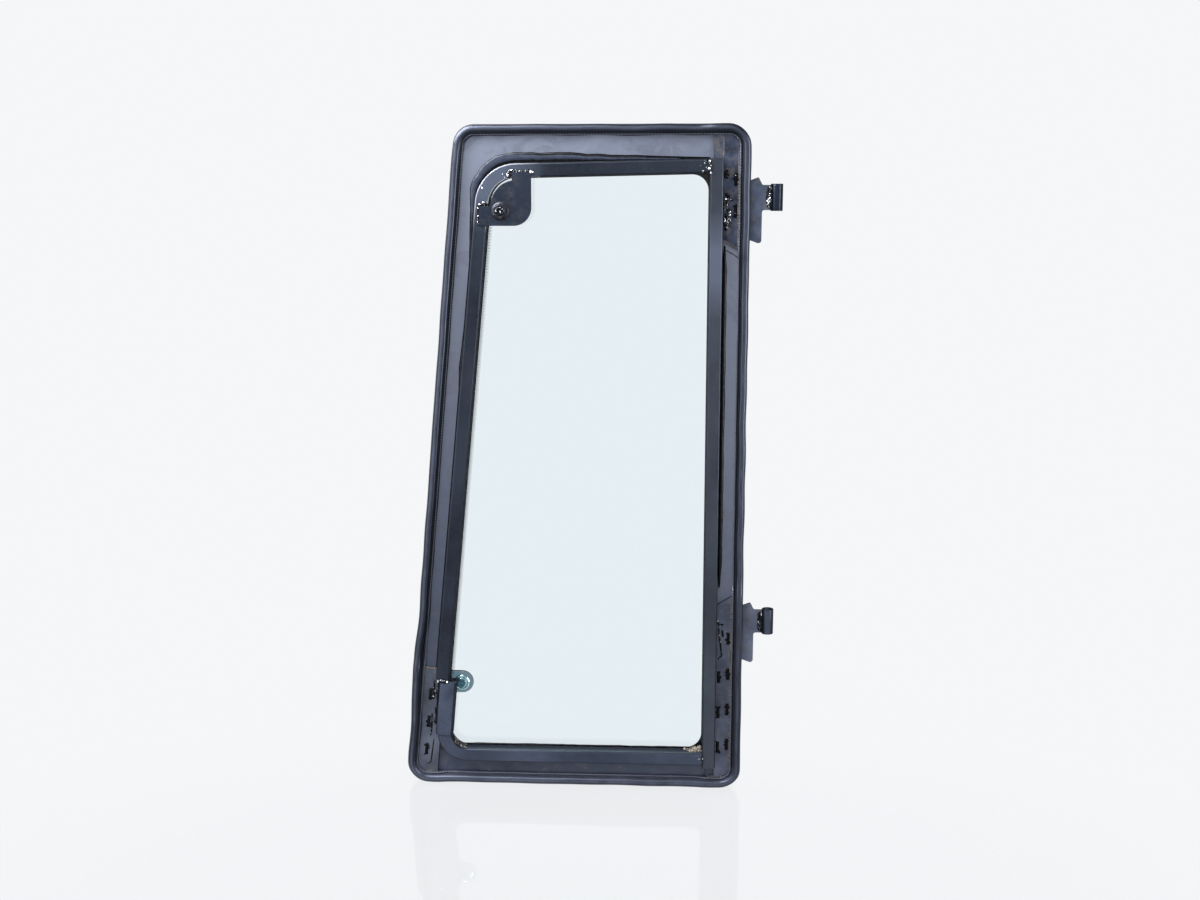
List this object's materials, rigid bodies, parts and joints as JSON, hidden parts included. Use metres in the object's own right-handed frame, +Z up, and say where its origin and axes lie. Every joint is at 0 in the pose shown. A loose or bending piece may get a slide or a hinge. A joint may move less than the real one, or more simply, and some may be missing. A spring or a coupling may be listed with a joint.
{
  "type": "hinged cab side window",
  "caption": "Opening side window: glass with a printed border in a bulb edge seal, bonded to a welded tube frame with slotted hinge plates and hinge barrels.",
  "frame": {"origin": "centre of the lower hinge barrel's lower end, on the hinge axis", "axes": "+Z up along the hinge axis, +X towards the hinge side as seen from inside the cab, +Y out of the cab"},
  "size_m": [0.5125, 0.049, 0.913],
  "materials": {
    "glass": "clear toughened glass, slightly blue-green",
    "border_ink": "black ceramic print fired on the inner face",
    "seal_rubber": "black satin rubber",
    "black_paint": "satin black paint on steel",
    "adhesive": "black polyurethane adhesive",
    "zinc": "zinc plated steel"
  },
  "bodies": {
    "root": {"glass_pane": "glass", "border_print": "border_ink", "edge_seal": "seal_rubber", "bent_tube": "black_paint", "bottom_tube": "black_paint", "hinge_post": "black_paint", "latch_channel": "black_paint", "post_strip": "black_paint", "upper_hinge_plate": "black_paint", "lower_hinge_plate": "black_paint", "corner_plate": "black_paint", "upper_plate_bond": "adhesive", "lower_plate_bond": "adhesive", "corner_plate_bond": "adhesive", "strip_bond": "adhesive", "bent_tube_bond": "adhesive", "bottom_tube_bond": "adhesive", "channel_bond": "adhesive", "post_bond": "adhesive", "upper_hinge_barrel": "black_paint", "lower_hinge_barrel": "black_paint", "corner_gusset": "black_paint", "gusset_nut": "black_paint", "gusset_stud": "zinc", "catch_gasket": "seal_rubber", "catch_tab": "black_paint", "catch_cup": "zinc", "catch_screw": "zinc", "catch_nut": "zinc"}
  },
  "joints": []
}
